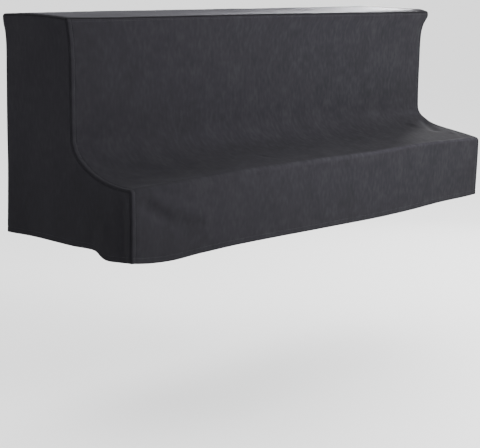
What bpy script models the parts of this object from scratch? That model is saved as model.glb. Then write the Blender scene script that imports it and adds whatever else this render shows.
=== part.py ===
"""Fitted half cover for an upright piano, sewn from five panels of velvet.

The cover is shown in the shape in which it hangs on the piano, which is not part of the model.  Three
panels run round the piano as one broad ribbon: back, top and front.  Two side panels close its ends.
The ribbon's ends turn round the corners, so that every seam lies edge to edge on a soft edge.

Frame: X along the keyboard (+X is the treble end), -Y to the player, +Z up.  The origin is on the
underside of the top panel, at its middle, where the piano's lid carries the cover.
"""

import math
from collections import namedtuple

import bmesh
import bpy
from mathutils import Vector

MM = 0.001

# ---- Driving dimensions, in metres
CLOTH = 1.5 * MM              # velvet and its backing
SEAM_GAP = 0.9 * MM           # between sewn edges at the face; inside it closes to about half
HALF_WIDTH = 0.760            # from the middle to a side panel
FRONT_Y = -0.165              # front edge of the top
BACK_Y = 0.165                # back edge of the top
WALL_TUCK = 4.0 * MM          # the front falls back this far under the lid's front edge
SKIRT_Y = -0.418              # face of the skirt in front of the keys
SKIRT_TUCK = 3.0 * MM         # the hem hangs this far behind the key edge
TOP_ROUND = 10.0 * MM         # radius of the edges in front of and behind the top
SIDE_ROUND = 6.0 * MM         # radius of the edges between the ribbon and the side panels

# ---- The front, as sections from the bass end to the treble end.  foot_z is where the wall starts to
# curve out over the keys; hollow and reach are how far that curve keeps to the wall and to the shelf;
# slope is the shelf's fall per metre at its lip; ridge_z and ridge_round are the height and the radius
# of the edge over the keys; hem_z is the height of the hem.
Section = namedtuple("Section", "x foot_z hollow reach slope ridge_z ridge_round hem_z")
FRONT_SECTIONS = (
    Section(-0.760, -0.334, 0.059, 0.148, -0.03, -0.443, 0.012, -0.643),
    Section(-0.700, -0.328, 0.068, 0.148, -0.02, -0.441, 0.013, -0.651),
    Section(-0.620, -0.320, 0.080, 0.150, 0.00, -0.439, 0.015, -0.655),
    Section(-0.520, -0.315, 0.090, 0.150, 0.03, -0.436, 0.016, -0.650),
    Section(-0.370, -0.312, 0.095, 0.148, 0.06, -0.431, 0.018, -0.646),
    Section(0.000, -0.314, 0.095, 0.142, 0.09, -0.430, 0.018, -0.648),
    Section(0.250, -0.320, 0.090, 0.135, 0.12, -0.431, 0.018, -0.649),
    Section(0.420, -0.326, 0.084, 0.130, 0.15, -0.427, 0.017, -0.645),
    Section(0.560, -0.334, 0.076, 0.124, 0.18, -0.429, 0.016, -0.639),
    Section(0.700, -0.342, 0.068, 0.119, 0.21, -0.432, 0.014, -0.637),
    Section(0.760, -0.346, 0.066, 0.118, 0.22, -0.434, 0.013, -0.635),
)

# ---- The top: its outer height along its front edge, its middle and its back edge, and how much
# further its front edge rolls down as a soft shoulder.
TopSection = namedtuple("TopSection", "x front middle back shoulder")
TOP_SECTIONS = (
    TopSection(-0.770, -2.0 * MM, 6.0 * MM, 3.5 * MM, 0.0 * MM),
    TopSection(-0.640, -4.0 * MM, 4.0 * MM, 5.0 * MM, 0.0 * MM),
    TopSection(-0.300, -4.0 * MM, 2.5 * MM, 6.0 * MM, 0.0 * MM),
    TopSection(0.000, -4.0 * MM, CLOTH, 6.0 * MM, 0.0 * MM),
    TopSection(0.400, -5.0 * MM, 1.5 * MM, 6.0 * MM, 1.0 * MM),
    TopSection(0.680, -3.0 * MM, 2.5 * MM, 7.0 * MM, 5.0 * MM),
    TopSection(0.775, 1.0 * MM, 4.0 * MM, 8.0 * MM, 8.0 * MM),
)
SHOULDER_REACH = 0.024        # how far behind the front edge the shoulder starts

# ---- The side panels: how far each stands out beyond HALF_WIDTH at its front seam, in its middle and
# at its back seam.  The lid stands proud of the case, so the cloth flares out over it at the top.
SideSection = namedtuple("SideSection", "z front middle back")
BASS_SIDE = (
    SideSection(-0.640, -1.0 * MM, 5.0 * MM, 16.0 * MM),
    SideSection(-0.450, 0.0 * MM, 3.0 * MM, 9.0 * MM),
    SideSection(-0.330, 5.0 * MM, 4.0 * MM, 8.0 * MM),
    SideSection(-0.165, 4.0 * MM, 3.0 * MM, 5.0 * MM),
    SideSection(-0.085, 4.5 * MM, 4.0 * MM, 3.5 * MM),
    SideSection(-0.045, 8.0 * MM, 8.0 * MM, 6.0 * MM),
    SideSection(-0.025, 11.0 * MM, 11.0 * MM, 10.0 * MM),
    SideSection(0.005, 15.0 * MM, 14.0 * MM, 12.0 * MM),
)
TREBLE_SIDE = (
    SideSection(-0.640, -2.0 * MM, 3.0 * MM, 9.0 * MM),
    SideSection(-0.450, 1.0 * MM, 3.0 * MM, 7.0 * MM),
    SideSection(-0.400, -6.0 * MM, 3.0 * MM, 6.0 * MM),
    SideSection(-0.335, -18.0 * MM, 3.0 * MM, 5.0 * MM),
    SideSection(-0.165, -19.0 * MM, 2.0 * MM, 4.0 * MM),
    SideSection(-0.087, -16.0 * MM, 3.0 * MM, 4.0 * MM),
    SideSection(-0.052, -4.0 * MM, 8.0 * MM, 7.0 * MM),
    SideSection(-0.024, 18.0 * MM, 16.0 * MM, 12.0 * MM),
    SideSection(0.005, 16.0 * MM, 16.0 * MM, 14.0 * MM),
)
SEAM_REACH = 0.075            # the seams' own lean dies out over this distance into a side panel
FOLD_FADE = 0.030             # a side panel's folds die out over this distance before its seams

# ---- The back hangs a little away from the piano towards its hem.
BackSection = namedtuple("BackSection", "z bulge")
BACK_SECTIONS = (
    BackSection(-0.645, 14.0 * MM),
    BackSection(-0.330, 6.0 * MM),
    BackSection(-0.060, 0.0 * MM),
    BackSection(0.010, 0.0 * MM),
)
BACK_HEM = (-0.642, -0.641)   # height of the hem at the bass and the treble corner

# ---- How far a side panel's hem lies above the straight line between its corners, from its front
# seam (0) to its back seam (1).  The bass side drops where it leaves the key bed.
HemSection = namedtuple("HemSection", "across lift")
BASS_HEM = (
    HemSection(0.00, 0.0 * MM),
    HemSection(0.08, -4.5 * MM),
    HemSection(0.18, -6.5 * MM),
    HemSection(0.26, 11.0 * MM),
    HemSection(0.45, 7.0 * MM),
    HemSection(0.75, 4.0 * MM),
    HemSection(1.00, 0.0 * MM),
)
TREBLE_HEM = (
    HemSection(0.00, 0.0 * MM),
    HemSection(0.15, -3.0 * MM),
    HemSection(0.50, 4.0 * MM),
    HemSection(1.00, 0.0 * MM),
)

# ---- Main folds: soft ridges, or troughs where rise is negative, along a line from start to end.
Fold = namedtuple("Fold", "name start end half_width rise")
FRONT_FOLDS = (
    Fold("drag crest", (-0.705, SKIRT_Y, -0.462), (-0.500, SKIRT_Y, -0.548), 0.022, 4.0 * MM),
    Fold("drag trough", (-0.710, SKIRT_Y, -0.495), (-0.570, SKIRT_Y, -0.575), 0.024, -4.0 * MM),
    Fold("low crest", (-0.640, SKIRT_Y, -0.452), (-0.360, SKIRT_Y, -0.456), 0.016, 2.5 * MM),
    Fold("shelf crest", (-0.670, -0.345, -0.441), (-0.545, -0.415, -0.441), 0.020, 3.0 * MM),
    Fold("wall dent", (-0.175, FRONT_Y, -0.405), (-0.120, FRONT_Y, -0.425), 0.030, -4.0 * MM),
    Fold("treble pucker", (0.715, -0.215, -0.398), (0.668, -0.290, -0.415), 0.018, -4.0 * MM),
    Fold("treble crest", (0.735, -0.190, -0.380), (0.640, -0.225, -0.400), 0.022, 3.0 * MM),
)
BASS_FOLDS = (
    Fold("corner crease", (-HALF_WIDTH, -0.385, -0.470), (-HALF_WIDTH, -0.385, -0.620), 0.020, -3.0 * MM),
    Fold("lid sag", (-HALF_WIDTH, -0.060, -0.050), (-HALF_WIDTH, 0.080, -0.110), 0.045, 3.0 * MM),
)
TREBLE_FOLDS = (
    Fold("corner crease", (HALF_WIDTH, -0.370, -0.480), (HALF_WIDTH, -0.380, -0.620), 0.024, -3.0 * MM),
    Fold("shelf drag", (HALF_WIDTH, -0.120, -0.400), (HALF_WIDTH, 0.060, -0.520), 0.045, 3.5 * MM),
)

# ---- Mesh steps
COLUMNS = 26                  # across the ribbon, between its rounded ends
COLUMN_CROWDING = 0.6         # 0 spaces the columns evenly, 1 crowds them at the corners
ROUND_STEPS = 3               # in each rounded end
EDGE_STEPS = 3                # in each half of the edges beside the top
TOP_STEPS = 6
WALL_STEPS = 6
HOLLOW_STEPS = 9
RIDGE_STEPS = 4
SKIRT_STEPS = 5
HEM_STEPS = 20                # along a side panel's hem
SIDE_CUTS_Y = (-0.390, -0.345, -0.295, -0.245, -0.195, -0.140, -0.120, -0.085, -0.040, 0.010, 0.060,
               0.105, 0.145)  # where a side panel is creased into facets, from front to back
SIDE_CUTS_Z = (-0.024, -0.036, -0.052, -0.070, -0.092, -0.140, -0.200, -0.260, -0.320, -0.370, -0.415,
               -0.462, -0.510, -0.560, -0.605)  # and from top to hem
CUT_SNAP = 4.0 * MM           # a cut that passes this close to a point goes through it

# ---- Velvet: linear colour, and the shares of roughness and of the pile's sheen
CHARCOAL = (0.048, 0.048, 0.056, 1.0)
ROUGHNESS = 0.9
SHEEN = 0.4


def clear_scene():
    for obj in list(bpy.data.objects):
        bpy.data.objects.remove(obj, do_unlink=True)


def read_table(rows, column, value):
    """Read a column of a table at a value of its first column, on a smooth curve through its rows."""
    keys = [row[0] for row in rows]
    heights = [getattr(row, column) for row in rows]
    if value <= keys[0]:
        return heights[0]
    if value >= keys[-1]:
        return heights[-1]
    right = next(index for index, key in enumerate(keys) if key >= value)
    left = right - 1

    def slope_at(index):
        before = max(index - 1, 0)
        after = min(index + 1, len(keys) - 1)
        return (heights[after] - heights[before]) / (keys[after] - keys[before])

    step = keys[right] - keys[left]
    t = (value - keys[left]) / step
    keep = 2 * t ** 3 - 3 * t ** 2 + 1
    start = step * (t ** 3 - 2 * t ** 2 + t) * slope_at(left)
    finish = step * (t ** 3 - t ** 2) * slope_at(right)
    return keep * heights[left] + (1 - keep) * heights[right] + start + finish


def top_height(x, y):
    """Outer height of the top: a parabola through its front, middle and back, less its shoulder."""
    front = read_table(TOP_SECTIONS, "front", x)
    middle = read_table(TOP_SECTIONS, "middle", x)
    back = read_table(TOP_SECTIONS, "back", x)
    t = y / BACK_Y
    crown = middle + (back - front) / 2 * t + ((back + front) / 2 - middle) * t * t
    fall = math.exp(-((y - FRONT_Y) / SHOULDER_REACH) ** 2)
    return crown - read_table(TOP_SECTIONS, "shoulder", x) * fall


def arc(centre, radius, start, finish, steps):
    """Points on an arc in (y, z).  Angle 0 is straight up; a positive angle leans to the player."""
    angles = [start + (finish - start) * step / steps for step in range(steps + 1)]
    return [(centre[0] - radius * math.sin(a), centre[1] + radius * math.cos(a)) for a in angles]


def line(start, finish, steps):
    return [tuple(a + (b - a) * step / steps for a, b in zip(start, finish)) for step in range(steps + 1)]


def bezier(start, start_handle, finish_handle, finish, steps):
    points = []
    for step in range(steps + 1):
        t = step / steps
        weights = ((1 - t) ** 3, 3 * (1 - t) ** 2 * t, 3 * (1 - t) * t ** 2, t ** 3)
        corners = (start, start_handle, finish_handle, finish)
        points.append(tuple(sum(w * c[axis] for w, c in zip(weights, corners)) for axis in (0, 1)))
    return points


def edge_centre(x, side):
    """Centre of the rounding at the front (side -1) or back (side 1) edge of the top."""
    y = (BACK_Y if side > 0 else FRONT_Y) - side * TOP_ROUND
    return y, top_height(x, y) - TOP_ROUND


def front_line(x):
    """Outer line of the front at x, from the start of the top's front edge down to the hem."""
    section = {name: read_table(FRONT_SECTIONS, name, x) for name in Section._fields[1:]}
    slope = math.atan(section["slope"])
    radius = section["ridge_round"]
    ridge_centre = (SKIRT_Y + radius, section["ridge_z"] - radius)
    lip = arc(ridge_centre, radius, slope, slope, 1)[0]
    foot = (FRONT_Y + WALL_TUCK, section["foot_z"])
    foot_handle = (foot[0], foot[1] - section["hollow"])
    lip_handle = (lip[0] + section["reach"], lip[1] + section["reach"] * section["slope"])

    edge = arc(edge_centre(x, -1), TOP_ROUND, 0.0, math.pi / 2, 2 * EDGE_STEPS)
    wall = line(edge[-1], foot, WALL_STEPS)
    hollow = bezier(foot, foot_handle, lip_handle, lip, HOLLOW_STEPS)
    ridge = arc(ridge_centre, radius, slope, math.pi / 2, RIDGE_STEPS)
    skirt = line(ridge[-1], (SKIRT_Y + SKIRT_TUCK, section["hem_z"]), SKIRT_STEPS)
    return edge + wall[1:] + hollow[1:] + ridge[1:] + skirt[1:]


def fall_shares():
    """How far down the front each row lies, as shares of the way from its top edge to its hem."""
    points = front_line(-HALF_WIDTH)[2 * EDGE_STEPS:]
    lengths = [0.0]
    for before, after in zip(points, points[1:]):
        lengths.append(lengths[-1] + math.dist(before, after))
    return [length / lengths[-1] for length in lengths]


def back_line(x):
    """Outer line of the back at x, from the start of the top's back edge, in as many rows as the front."""
    across = (x + HALF_WIDTH) / (2 * HALF_WIDTH)
    hem_z = BACK_HEM[0] + (BACK_HEM[1] - BACK_HEM[0]) * across
    points = arc(edge_centre(x, 1), TOP_ROUND, 0.0, -math.pi / 2, 2 * EDGE_STEPS)
    top_z = points[-1][1]
    for share in fall_shares()[1:]:
        z = top_z + (hem_z - top_z) * share
        points.append((BACK_Y + read_table(BACK_SECTIONS, "bulge", z), z))
    return points


def top_line(x):
    """Outer line of the top at x, with the whole of the rounded edges behind it and in front of it."""
    back = arc(edge_centre(x, 1), TOP_ROUND, -math.pi / 2, 0.0, 2 * EDGE_STEPS)
    front = arc(edge_centre(x, -1), TOP_ROUND, 0.0, math.pi / 2, 2 * EDGE_STEPS)
    flat = [(y, top_height(x, y)) for y, _ in line(back[-1], front[0], TOP_STEPS)[1:-1]]
    return back + flat + front


def outward_normals(points, turn):
    """Normals in (y, z) of a line that runs down the front (turn 1) or down the back (turn -1)."""
    normals = []
    for index in range(len(points)):
        before = points[max(index - 1, 0)]
        after = points[min(index + 1, len(points) - 1)]
        along = (after[0] - before[0], after[1] - before[1])
        length = math.hypot(*along)
        normals.append(Vector((0.0, turn * along[1] / length, -turn * along[0] / length)))
    return normals


def fold_rise(folds, point):
    """How far the folds lift the cloth at a point."""
    rise = 0.0
    for fold in folds:
        start = Vector(fold.start)
        along = Vector(fold.end) - start
        share = (point - start).dot(along) / along.length_squared
        nearest = start + along * min(max(share, 0.0), 1.0)
        rise += fold.rise * math.exp(-((point - nearest).length / fold.half_width) ** 2)
    return rise


def side_x(side, z, to_front, to_back):
    """Outer x of the bass (side -1) or treble (side 1) side, at distances from its two seams."""
    table = TREBLE_SIDE if side > 0 else BASS_SIDE
    middle = read_table(table, "middle", z)
    front = (read_table(table, "front", z) - middle) * math.exp(-(to_front / SEAM_REACH) ** 2)
    back = (read_table(table, "back", z) - middle) * math.exp(-(to_back / SEAM_REACH) ** 2)
    return side * (HALF_WIDTH + middle + front + back)


def column_shares():
    """Places of the columns from -1 to 1, closer together near the corners."""
    shares = []
    for column in range(COLUMNS + 1):
        t = 2 * column / COLUMNS - 1
        crowded = math.sin(math.pi / 2 * t)
        shares.append(COLUMN_CROWDING * crowded + (1 - COLUMN_CROWDING) * t)
    return shares


def grid_of(rows):
    """A grid of faces through rows of points."""
    bm = bmesh.new()
    row_steps = len(rows) - 1
    column_steps = len(rows[0]) - 1
    bmesh.ops.create_grid(bm, x_segments=column_steps, y_segments=row_steps, size=1.0)
    for vert in bm.verts:
        column = round((vert.co.x + 1) / 2 * column_steps)
        row = round((vert.co.y + 1) / 2 * row_steps)
        vert.co = rows[row][column]
    return bm


def make_sheet(name, bm, outward):
    """Make a sheet of cloth inside an outer surface, whose faces are turned to look along outward."""
    bm.normal_update()
    if sum((face.normal * face.calc_area() for face in bm.faces), Vector()).dot(outward) < 0:
        bmesh.ops.reverse_faces(bm, faces=bm.faces)
    mesh = bpy.data.meshes.new(name)
    bm.to_mesh(mesh)
    bm.free()
    mesh.shade_smooth()
    mesh.materials.append(velvet(name))

    sheet = bpy.data.objects.new(name, mesh)
    cloth = sheet.modifiers.new("Cloth", "SOLIDIFY")
    cloth.thickness = CLOTH
    cloth.offset = -1.0
    cloth.use_even_offset = True
    return sheet


def velvet(name):
    material = bpy.data.materials.new(name + "_velvet")
    material.use_nodes = True
    shader = material.node_tree.nodes["Principled BSDF"]
    shader.inputs["Base Color"].default_value = CHARCOAL
    shader.inputs["Roughness"].default_value = ROUGHNESS
    shader.inputs["Metallic"].default_value = 0.0
    shader.inputs["Sheen Weight"].default_value = SHEEN
    return material


def turned_end(point, normal, side):
    """Points past a ribbon's last column, where it turns a quarter round the corner."""
    points = []
    for step in range(1, ROUND_STEPS + 1):
        angle = math.pi / 2 * step / ROUND_STEPS
        outward = Vector((side * SIDE_ROUND * math.sin(angle), 0.0, 0.0))
        points.append(point + outward - normal * SIDE_ROUND * (1 - math.cos(angle)))
    return points


def ribbon_rows(line_at, turn, folds=()):
    """Rows of outer points of a ribbon, from bass to treble, with both ends turned round the corners."""
    shares = column_shares()
    lines = [line_at(share * HALF_WIDTH) for share in shares]
    normals = [outward_normals(points, turn) for points in lines]
    rows = []
    for row in range(len(lines[0])):
        ends = []
        for side, end in ((-1, 0), (1, -1)):
            y, z = lines[end][row]
            seam_z = z - normals[end][row].z * SIDE_ROUND
            x = side_x(side, seam_z, max(y - FRONT_Y - TOP_ROUND, 0.0), max(BACK_Y - TOP_ROUND - y, 0.0))
            ends.append(x - side * SIDE_ROUND)
        points = []
        for share, column, normal in zip(shares, lines, normals):
            point = Vector((ends[0] + (ends[1] - ends[0]) * (share + 1) / 2, *column[row]))
            points.append(point + normal[row] * fold_rise(folds, point))
        bass_end = turned_end(points[0], normals[0][row], -1)
        treble_end = turned_end(points[-1], normals[-1][row], 1)
        rows.append(bass_end[::-1] + points + treble_end)
    return rows


def seam_edge(rows, line_at, turn, side):
    """The edge of a side panel beside a ribbon: the ribbon's end, less the gap of the seam."""
    normals = outward_normals(line_at(side * HALF_WIDTH), turn)
    end = -1 if side > 0 else 0
    return [row[end] - normal * SEAM_GAP for row, normal in zip(rows, normals)]


def side_hem(table, front, back):
    """Points along a side panel's hem, between its front and its back corner."""
    points = []
    for step in range(1, HEM_STEPS):
        across = step / HEM_STEPS
        point = front.lerp(back, across)
        point.z += read_table(table, "lift", across)
        points.append(point)
    return points


def seam_distance(edge, point):
    """Shortest distance from a point to a seam, seen from the side."""
    shortest = math.inf
    for start, finish in zip(edge, edge[1:]):
        along = Vector((0.0, finish.y - start.y, finish.z - start.z))
        offset = Vector((0.0, point.y - start.y, point.z - start.z))
        share = min(max(offset.dot(along) / along.length_squared, 0.0), 1.0)
        shortest = min(shortest, (offset - along * share).length)
    return shortest


def make_side(name, side, ribbons, hem, folds):
    """Cut a side panel to its seams, crease it into small facets and lean it on to the piano's side."""
    front, back, top = (seam_edge(rows, line_at, turn, side) for rows, line_at, turn in ribbons)
    top_flat = top[2 * EDGE_STEPS + 1:-2 * EDGE_STEPS - 1]
    outline = front + side_hem(hem, front[-1], back[-1]) + back[::-1] + top_flat
    bm = bmesh.new()
    bm.faces.new([bm.verts.new((0.0, point.y, point.z)) for point in outline])
    cuts = [(place, (0, 1, 0)) for place in SIDE_CUTS_Y] + [(place, (0, 0, 1)) for place in SIDE_CUTS_Z]
    for place, across in cuts:
        geometry = bm.verts[:] + bm.edges[:] + bm.faces[:]
        at = Vector(across) * place
        bmesh.ops.bisect_plane(bm, geom=geometry, dist=CUT_SNAP, plane_co=at, plane_no=across)
    for vert in bm.verts:
        to_front = seam_distance(front, vert.co)
        to_back = seam_distance(back, vert.co)
        to_top = seam_distance(top, vert.co)
        inside = min(to_front, to_back, to_top, FOLD_FADE) / FOLD_FADE
        at_side = Vector((side * HALF_WIDTH, vert.co.y, vert.co.z))
        vert.co.x = side_x(side, vert.co.z, to_front, to_back) + side * inside * fold_rise(folds, at_side)
    bmesh.ops.triangulate(bm, faces=bm.faces)
    return make_sheet(name, bm, Vector((side, 0, 0)))


def open_seam(rows, at_start, at_end):
    """Draw the first or last row of a panel back by half a seam's gap."""
    opened = [list(row) for row in rows]
    for use, edge, neighbour in ((at_start, 0, 1), (at_end, -1, -2)):
        if use:
            for column, point in enumerate(rows[edge]):
                inward = (rows[neighbour][column] - point).normalized()
                opened[edge][column] = point + inward * SEAM_GAP / 2
    return opened


def build_cover():
    front = ribbon_rows(front_line, 1, FRONT_FOLDS)
    back = ribbon_rows(back_line, -1)
    top = ribbon_rows(top_line, 1)
    ribbons = ((front, front_line, 1), (back, back_line, -1), (top, top_line, 1))
    front_rows = open_seam(front[EDGE_STEPS:], True, False)
    back_rows = open_seam(back[EDGE_STEPS:], True, False)
    top_rows = open_seam(top[EDGE_STEPS:-EDGE_STEPS], True, True)
    return [
        make_sheet("front_panel", grid_of(front_rows), Vector((0, -1, 0))),
        make_sheet("back_panel", grid_of(back_rows), Vector((0, 1, 0))),
        make_sheet("top_panel", grid_of(top_rows), Vector((0, 0, 1))),
        make_side("bass_side_panel", -1, ribbons, BASS_HEM, BASS_FOLDS),
        make_side("treble_side_panel", 1, ribbons, TREBLE_HEM, TREBLE_FOLDS),
    ]


def main():
    clear_scene()
    collection = bpy.data.collections.new("piano_cover")
    bpy.context.scene.collection.children.link(collection)
    for panel in build_cover():
        collection.objects.link(panel)


main()
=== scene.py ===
# %% [markdown]
# # A fitted velvet half cover for an upright piano
#
# The real thing is sewn from five panels of short-pile velvet: a broad ribbon that runs up the back,
# over the lid and down the front, and two side panels that close its ends.  Each could be sculpted or
# simulated, but a fitted cover is made to drawings, so its shape is known: each panel is a fine mesh
# laid on the section tables of the solid model, and the sewing and the creases are added on top.
#
# Units are metres.  X runs along the keyboard to the treble end, -Y to the player and Z up.

# %% Load the frame
import math
from collections import namedtuple

import bmesh
import bpy
from mathutils import Matrix, Vector, kdtree, noise
from mathutils.bvhtree import BVHTree


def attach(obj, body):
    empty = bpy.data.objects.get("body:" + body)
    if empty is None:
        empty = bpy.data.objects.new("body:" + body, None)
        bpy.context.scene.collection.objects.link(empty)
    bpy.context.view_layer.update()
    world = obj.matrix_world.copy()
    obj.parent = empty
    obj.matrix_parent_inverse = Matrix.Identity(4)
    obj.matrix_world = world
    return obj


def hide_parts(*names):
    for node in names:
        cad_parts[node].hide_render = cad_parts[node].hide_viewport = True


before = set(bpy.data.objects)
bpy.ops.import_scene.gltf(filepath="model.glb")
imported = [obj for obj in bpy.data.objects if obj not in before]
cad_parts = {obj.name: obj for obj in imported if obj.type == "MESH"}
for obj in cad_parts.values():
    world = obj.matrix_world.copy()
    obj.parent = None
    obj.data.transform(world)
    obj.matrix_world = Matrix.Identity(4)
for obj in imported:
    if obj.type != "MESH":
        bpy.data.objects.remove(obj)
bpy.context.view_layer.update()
MM = 0.001

# %% [markdown]
# ## What the cutter's drawing says
#
# A maker writes a fitted cover down as a few measurements at a few places.  The tables do the same: a
# row is a section, and a smooth curve runs through the rows.  Hundreds of points would do too, but a
# dozen rows can be read and changed by hand.

# %% Sizes of the cover
CLOTH = 1.5 * MM  # velvet and its backing
HALF_WIDTH = 0.760  # from the middle to a side panel
FRONT_Y = -0.165  # front edge of the top
BACK_Y = 0.165  # back edge of the top
WALL_TUCK = 4.0 * MM  # the front falls back this far under the lid's front edge
SKIRT_Y = -0.418  # face of the skirt in front of the keys
SKIRT_TUCK = 3.0 * MM  # the hem hangs this far behind the key edge
TOP_ROUND = 10.0 * MM  # radius of the edges in front of and behind the top
SIDE_ROUND = 6.0 * MM  # radius of the edges between the ribbon and the side panels
SHOULDER_REACH = 0.024  # how far behind the front edge the top starts to roll down
SEAM_REACH = 0.075  # a seam's own lean dies out over this distance into a side panel
FOLD_FADE = 0.030  # a side panel's folds die out over this distance before its seams
BACK_HEM = (-0.642, -0.641)  # height of the hem at the bass and the treble corner


# %% Sections of the front, the top and the back
def table(columns, *rows, unit=MM):
    """Rows with named columns.  The unit is that of all columns but the first."""
    Row = namedtuple("Row", columns)
    return [Row(row[0], *(value * unit for value in row[1:])) for row in rows]


# The key edge (ridge_round) is a few millimetres sharper here towards the treble end than in the solid.
FRONT_SECTIONS = table(
    "x foot_z hollow reach slope ridge_z ridge_round hem_z",
    (-0.760, -0.334, 0.059, 0.148, -0.03, -0.443, 0.012, -0.643),
    (-0.700, -0.328, 0.068, 0.148, -0.02, -0.441, 0.013, -0.651),
    (-0.620, -0.320, 0.080, 0.150, 0.00, -0.439, 0.015, -0.655),
    (-0.520, -0.315, 0.090, 0.150, 0.03, -0.436, 0.016, -0.650),
    (-0.370, -0.312, 0.095, 0.148, 0.06, -0.431, 0.018, -0.646),
    (0.000, -0.314, 0.095, 0.142, 0.09, -0.430, 0.018, -0.648),
    (0.250, -0.320, 0.090, 0.135, 0.12, -0.431, 0.014, -0.649),
    (0.420, -0.326, 0.084, 0.130, 0.15, -0.427, 0.011, -0.645),
    (0.560, -0.334, 0.076, 0.124, 0.18, -0.429, 0.010, -0.639),
    (0.700, -0.342, 0.068, 0.119, 0.21, -0.432, 0.010, -0.637),
    (0.760, -0.346, 0.066, 0.118, 0.22, -0.434, 0.013, -0.635), unit=1.0)
TOP_SECTIONS = table(
    "x front middle back shoulder",
    (-0.770, -2.0, 6.0, 3.5, 0.0),
    (-0.640, -4.0, 4.0, 5.0, 0.0),
    (-0.300, -4.0, 2.5, 6.0, 0.0),
    (0.000, -4.0, 1.5, 6.0, 0.0),
    (0.400, -5.0, 1.5, 6.0, 1.0),
    (0.680, -3.0, 2.5, 7.0, 5.0),
    (0.775, 1.0, 4.0, 8.0, 8.0))
BACK_SECTIONS = table("z bulge", (-0.645, 14.0), (-0.330, 6.0), (-0.060, 0.0), (0.010, 0.0))

# %% Sections of the side panels and their hems
BASS_SIDE = table(
    "z front middle back",
    (-0.640, -1.0, 5.0, 16.0),
    (-0.450, 0.0, 3.0, 9.0),
    (-0.330, 5.0, 4.0, 8.0),
    (-0.165, 4.0, 3.0, 5.0),
    (-0.085, 4.5, 4.0, 3.5),
    (-0.045, 8.0, 8.0, 6.0),
    (-0.025, 11.0, 11.0, 10.0),
    (0.005, 15.0, 14.0, 12.0))
TREBLE_SIDE = table(
    "z front middle back",
    (-0.640, -2.0, 3.0, 9.0),
    (-0.450, 1.0, 3.0, 7.0),
    (-0.400, -6.0, 3.0, 6.0),
    (-0.335, -18.0, 3.0, 5.0),
    (-0.165, -19.0, 2.0, 4.0),
    (-0.087, -16.0, 3.0, 4.0),
    (-0.052, -4.0, 8.0, 7.0),
    (-0.024, 18.0, 16.0, 12.0),
    (0.005, 16.0, 16.0, 14.0))
BASS_HEM = table("across lift", (0.00, 0.0), (0.08, -4.5), (0.18, -6.5), (0.26, 11.0), (0.45, 7.0),
                 (0.75, 4.0), (1.00, 0.0))
TREBLE_HEM = table("across lift", (0.00, 0.0), (0.15, -3.0), (0.50, 4.0), (1.00, 0.0))

# %% [markdown]
# ## Folds
#
# Cloth over a box drags from its corners and sags between them.  A simulation would invent folds of
# its own; these are known, so each is laid as a soft ridge or trough along a line.  The larger
# ones are the main folds of the solid model, and the others are finer.

# %% Folds of the front and of the sides
Fold = namedtuple("Fold", "start end half_width rise")


def fold_table(place, *rows):
    """Folds from rows of name, start, end, half width and rise, in millimetres, laid out by place."""
    return [Fold(*(Vector(place(*(c * MM for c in end))) for end in ends), half_width * MM, rise * MM)
            for _, *ends, half_width, rise in rows]


SKIRT_FOLDS = fold_table(
    lambda x, z: (x, SKIRT_Y, z),
    ("drag crest", (-705, -462), (-500, -548), 22, 4.0),
    ("drag trough", (-710, -495), (-570, -575), 24, -4.0),
    ("low crest", (-640, -452), (-360, -456), 16, 2.5),
    ("second drag", (-620, -560), (-440, -610), 16, 1.4),
    ("drag tail", (-500, -548), (-350, -568), 20, 1.5),
    ("corner nip", (-712, -441), (-693, -466), 8, -1.8),
    ("drag lip", (-690, -477), (-625, -516), 14, 2.0),
    ("drag lip end", (-610, -520), (-510, -540), 16, 1.6),
    ("drag groove", (-700, -498), (-632, -540), 18, -2.2),
    ("drag groove end", (-615, -545), (-520, -562), 20, -1.6),
    ("slack below the drag", (-720, -640), (-560, -645), 70, -3.0),
    ("key edge crease", (-540, -443), (-300, -446), 6, -1.3))
SHELF_FOLDS = fold_table(
    lambda x, y, z: (x, y, z),
    ("shelf crest", (-670, -345, -441), (-545, -415, -441), 26, 1.2),
    ("wall dent", (-175, -165, -405), (-120, -165, -425), 30, -4.0),
    ("treble pucker", (715, -215, -398), (668, -290, -415), 18, -4.0),
    ("treble crest", (735, -190, -380), (640, -225, -400), 22, 3.0),
    ("dent nick", (-176, -300, -424), (-160, -335, -434), 9, -1.6),
    ("ridge lip", (-250, -412.7, -435.6), (390, -413.5, -432.5), 6, 1.5),
    ("ridge lip end", (425, -415, -431.8), (740, -415, -435.8), 6, 2.0),
    ("treble wrinkle", (742, -300, -410), (700, -345, -424), 9, 1.8),
    ("treble nick", (735, -345, -418), (700, -385, -428), 8, -1.8),
    ("lip wrinkle", (700, -405, -428), (560, -412, -426), 7, -1.2),
    ("hollow drag", (-735, -215, -400), (-640, -300, -436), 18, 1.8),
    ("hollow dip", (-700, -200, -395), (-560, -270, -428), 20, -1.6))
BASS_FOLDS = fold_table(
    lambda y, z: (-HALF_WIDTH, y, z),
    ("corner crease", (-385, -470), (-385, -620), 20, -3.0),
    ("lid sag", (-60, -50), (80, -110), 45, 3.0),
    ("shelf drag", (-200, -400), (-50, -520), 30, 1.4),
    ("hem flare", (-300, -560), (-290, -640), 22, 1.6),
    ("hem tuck", (-245, -570), (-240, -640), 18, -1.4))
TREBLE_FOLDS = fold_table(
    lambda y, z: (HALF_WIDTH, y, z),
    ("corner crease", (-370, -480), (-380, -620), 24, -3.0),
    ("shelf drag", (-120, -400), (60, -520), 45, 3.5),
    ("hem flare", (-200, -570), (-190, -640), 24, 1.6))
print(len(SKIRT_FOLDS + SHELF_FOLDS), "folds in the front,", len(BASS_FOLDS + TREBLE_FOLDS), "in the sides")

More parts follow.
